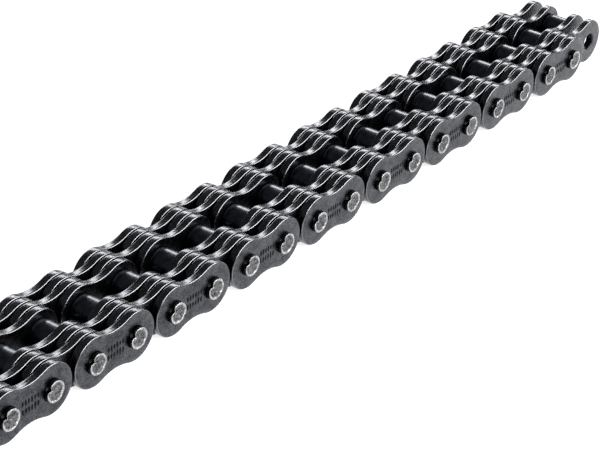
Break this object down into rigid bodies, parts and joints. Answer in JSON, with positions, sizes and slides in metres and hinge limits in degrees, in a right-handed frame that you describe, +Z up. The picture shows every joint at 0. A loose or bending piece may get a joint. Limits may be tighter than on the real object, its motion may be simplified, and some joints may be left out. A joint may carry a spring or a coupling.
{
  "type": "motorcycle drive chain",
  "caption": "Straight strand of single-row roller chain for a motorcycle final drive, with doubled black side plates and staked pins.",
  "frame": {"origin": "centre of the strand's footprint, on the surface it lies on", "axes": "+X along the strand, +Y along the pins, +Z up across the side plates' height"},
  "size_m": [0.3166, 0.033, 0.0149],
  "materials": {
    "side_plate": "black oxide, satin, slightly grained",
    "roller": "black, smooth and glossy",
    "bushing": "ground, oiled",
    "pin": "grey steel, rough staked ends"
  },
  "bodies": {
    "inner_link_01": {"inner_plates_01": "side_plate", "bushings_01": "bushing"},
    "inner_link_02": {"inner_plates_02": "side_plate", "bushings_02": "bushing"},
    "inner_link_03": {"inner_plates_03": "side_plate", "bushings_03": "bushing"},
    "inner_link_04": {"inner_plates_04": "side_plate", "bushings_04": "bushing"},
    "inner_link_05": {"inner_plates_05": "side_plate", "bushings_05": "bushing"},
    "inner_link_06": {"inner_plates_06": "side_plate", "bushings_06": "bushing"},
    "inner_link_07": {"inner_plates_07": "side_plate", "bushings_07": "bushing"},
    "inner_link_08": {"inner_plates_08": "side_plate", "bushings_08": "bushing"},
    "inner_link_09": {"inner_plates_09": "side_plate", "bushings_09": "bushing"},
    "inner_link_10": {"inner_plates_10": "side_plate", "bushings_10": "bushing"},
    "outer_link_01": {"outer_plates_01": "side_plate", "pins_01": "pin"},
    "outer_link_02": {"outer_plates_02": "side_plate", "pins_02": "pin"},
    "outer_link_03": {"outer_plates_03": "side_plate", "pins_03": "pin"},
    "outer_link_04": {"outer_plates_04": "side_plate", "pins_04": "pin"},
    "outer_link_05": {"outer_plates_05": "side_plate", "pins_05": "pin"},
    "outer_link_06": {"outer_plates_06": "side_plate", "pins_06": "pin"},
    "outer_link_07": {"outer_plates_07": "side_plate", "pins_07": "pin"},
    "outer_link_08": {"outer_plates_08": "side_plate", "pins_08": "pin"},
    "outer_link_09": {"outer_plates_09": "side_plate", "pins_09": "pin"},
    "roller_body_01": {"roller_01": "roller"},
    "roller_body_02": {"roller_02": "roller"},
    "roller_body_03": {"roller_03": "roller"},
    "roller_body_04": {"roller_04": "roller"},
    "roller_body_05": {"roller_05": "roller"},
    "roller_body_06": {"roller_06": "roller"},
    "roller_body_07": {"roller_07": "roller"},
    "roller_body_08": {"roller_08": "roller"},
    "roller_body_09": {"roller_09": "roller"},
    "roller_body_10": {"roller_10": "roller"},
    "roller_body_11": {"roller_11": "roller"},
    "roller_body_12": {"roller_12": "roller"},
    "roller_body_13": {"roller_13": "roller"},
    "roller_body_14": {"roller_14": "roller"},
    "roller_body_15": {"roller_15": "roller"},
    "roller_body_16": {"roller_16": "roller"},
    "roller_body_17": {"roller_17": "roller"},
    "roller_body_18": {"roller_18": "roller"},
    "roller_body_19": {"roller_19": "roller"},
    "roller_body_20": {"roller_20": "roller"}
  },
  "joints": [
    {"name": "pin_11_hinge", "type": "hinge", "parent": "outer_link_05", "child": "inner_link_06", "pos_m": [0.00794, 0, 0.00745], "axis": [0, -1, 0], "range_deg": [-18, 18]},
    {"name": "pin_12_hinge", "type": "hinge", "parent": "inner_link_06", "child": "outer_link_06", "pos_m": [0.02381, 0, 0.00745], "axis": [0, -1, 0], "range_deg": [-18, 18]},
    {"name": "pin_13_hinge", "type": "hinge", "parent": "outer_link_06", "child": "inner_link_07", "pos_m": [0.03969, 0, 0.00745], "axis": [0, -1, 0], "range_deg": [-18, 18]},
    {"name": "pin_14_hinge", "type": "hinge", "parent": "inner_link_07", "child": "outer_link_07", "pos_m": [0.05556, 0, 0.00745], "axis": [0, -1, 0], "range_deg": [-18, 18]},
    {"name": "pin_15_hinge", "type": "hinge", "parent": "outer_link_07", "child": "inner_link_08", "pos_m": [0.07144, 0, 0.00745], "axis": [0, -1, 0], "range_deg": [-18, 18]},
    {"name": "pin_16_hinge", "type": "hinge", "parent": "inner_link_08", "child": "outer_link_08", "pos_m": [0.08731, 0, 0.00745], "axis": [0, -1, 0], "range_deg": [-18, 18]},
    {"name": "pin_17_hinge", "type": "hinge", "parent": "outer_link_08", "child": "inner_link_09", "pos_m": [0.10319, 0, 0.00745], "axis": [0, -1, 0], "range_deg": [-18, 18]},
    {"name": "pin_18_hinge", "type": "hinge", "parent": "inner_link_09", "child": "outer_link_09", "pos_m": [0.11906, 0, 0.00745], "axis": [0, -1, 0], "range_deg": [-18, 18]},
    {"name": "pin_19_hinge", "type": "hinge", "parent": "outer_link_09", "child": "inner_link_10", "pos_m": [0.13494, 0, 0.00745], "axis": [0, -1, 0], "range_deg": [-18, 18]},
    {"name": "pin_10_hinge", "type": "hinge", "parent": "outer_link_05", "child": "inner_link_05", "pos_m": [-0.00794, 0, 0.00745], "axis": [0, 1, 0], "range_deg": [-18, 18]},
    {"name": "pin_09_hinge", "type": "hinge", "parent": "inner_link_05", "child": "outer_link_04", "pos_m": [-0.02381, 0, 0.00745], "axis": [0, 1, 0], "range_deg": [-18, 18]},
    {"name": "pin_08_hinge", "type": "hinge", "parent": "outer_link_04", "child": "inner_link_04", "pos_m": [-0.03969, 0, 0.00745], "axis": [0, 1, 0], "range_deg": [-18, 18]},
    {"name": "pin_07_hinge", "type": "hinge", "parent": "inner_link_04", "child": "outer_link_03", "pos_m": [-0.05556, 0, 0.00745], "axis": [0, 1, 0], "range_deg": [-18, 18]},
    {"name": "pin_06_hinge", "type": "hinge", "parent": "outer_link_03", "child": "inner_link_03", "pos_m": [-0.07144, 0, 0.00745], "axis": [0, 1, 0], "range_deg": [-18, 18]},
    {"name": "pin_05_hinge", "type": "hinge", "parent": "inner_link_03", "child": "outer_link_02", "pos_m": [-0.08731, 0, 0.00745], "axis": [0, 1, 0], "range_deg": [-18, 18]},
    {"name": "pin_04_hinge", "type": "hinge", "parent": "outer_link_02", "child": "inner_link_02", "pos_m": [-0.10319, 0, 0.00745], "axis": [0, 1, 0], "range_deg": [-18, 18]},
    {"name": "pin_03_hinge", "type": "hinge", "parent": "inner_link_02", "child": "outer_link_01", "pos_m": [-0.11906, 0, 0.00745], "axis": [0, 1, 0], "range_deg": [-18, 18]},
    {"name": "pin_02_hinge", "type": "hinge", "parent": "outer_link_01", "child": "inner_link_01", "pos_m": [-0.13494, 0, 0.00745], "axis": [0, 1, 0], "range_deg": [-18, 18]},
    {"name": "roller_01_spin", "type": "hinge", "parent": "inner_link_01", "child": "roller_body_01", "pos_m": [-0.15081, 0, 0.00745], "axis": [0, 1, 0], "continuous": true},
    {"name": "roller_02_spin", "type": "hinge", "parent": "inner_link_01", "child": "roller_body_02", "pos_m": [-0.13494, 0, 0.00745], "axis": [0, 1, 0], "continuous": true},
    {"name": "roller_03_spin", "type": "hinge", "parent": "inner_link_02", "child": "roller_body_03", "pos_m": [-0.11906, 0, 0.00745], "axis": [0, 1, 0], "continuous": true},
    {"name": "roller_04_spin", "type": "hinge", "parent": "inner_link_02", "child": "roller_body_04", "pos_m": [-0.10319, 0, 0.00745], "axis": [0, 1, 0], "continuous": true},
    {"name": "roller_05_spin", "type": "hinge", "parent": "inner_link_03", "child": "roller_body_05", "pos_m": [-0.08731, 0, 0.00745], "axis": [0, 1, 0], "continuous": true},
    {"name": "roller_06_spin", "type": "hinge", "parent": "inner_link_03", "child": "roller_body_06", "pos_m": [-0.07144, 0, 0.00745], "axis": [0, 1, 0], "continuous": true},
    {"name": "roller_07_spin", "type": "hinge", "parent": "inner_link_04", "child": "roller_body_07", "pos_m": [-0.05556, 0, 0.00745], "axis": [0, 1, 0], "continuous": true},
    {"name": "roller_08_spin", "type": "hinge", "parent": "inner_link_04", "child": "roller_body_08", "pos_m": [-0.03969, 0, 0.00745], "axis": [0, 1, 0], "continuous": true},
    {"name": "roller_09_spin", "type": "hinge", "parent": "inner_link_05", "child": "roller_body_09", "pos_m": [-0.02381, 0, 0.00745], "axis": [0, 1, 0], "continuous": true},
    {"name": "roller_10_spin", "type": "hinge", "parent": "inner_link_05", "child": "roller_body_10", "pos_m": [-0.00794, 0, 0.00745], "axis": [0, 1, 0], "continuous": true},
    {"name": "roller_11_spin", "type": "hinge", "parent": "inner_link_06", "child": "roller_body_11", "pos_m": [0.00794, 0, 0.00745], "axis": [0, 1, 0], "continuous": true},
    {"name": "roller_12_spin", "type": "hinge", "parent": "inner_link_06", "child": "roller_body_12", "pos_m": [0.02381, 0, 0.00745], "axis": [0, 1, 0], "continuous": true},
    {"name": "roller_13_spin", "type": "hinge", "parent": "inner_link_07", "child": "roller_body_13", "pos_m": [0.03969, 0, 0.00745], "axis": [0, 1, 0], "continuous": true},
    {"name": "roller_14_spin", "type": "hinge", "parent": "inner_link_07", "child": "roller_body_14", "pos_m": [0.05556, 0, 0.00745], "axis": [0, 1, 0], "continuous": true},
    {"name": "roller_15_spin", "type": "hinge", "parent": "inner_link_08", "child": "roller_body_15", "pos_m": [0.07144, 0, 0.00745], "axis": [0, 1, 0], "continuous": true},
    {"name": "roller_16_spin", "type": "hinge", "parent": "inner_link_08", "child": "roller_body_16", "pos_m": [0.08731, 0, 0.00745], "axis": [0, 1, 0], "continuous": true},
    {"name": "roller_17_spin", "type": "hinge", "parent": "inner_link_09", "child": "roller_body_17", "pos_m": [0.10319, 0, 0.00745], "axis": [0, 1, 0], "continuous": true},
    {"name": "roller_18_spin", "type": "hinge", "parent": "inner_link_09", "child": "roller_body_18", "pos_m": [0.11906, 0, 0.00745], "axis": [0, 1, 0], "continuous": true},
    {"name": "roller_19_spin", "type": "hinge", "parent": "inner_link_10", "child": "roller_body_19", "pos_m": [0.13494, 0, 0.00745], "axis": [0, 1, 0], "continuous": true},
    {"name": "roller_20_spin", "type": "hinge", "parent": "inner_link_10", "child": "roller_body_20", "pos_m": [0.15081, 0, 0.00745], "axis": [0, 1, 0], "continuous": true}
  ]
}
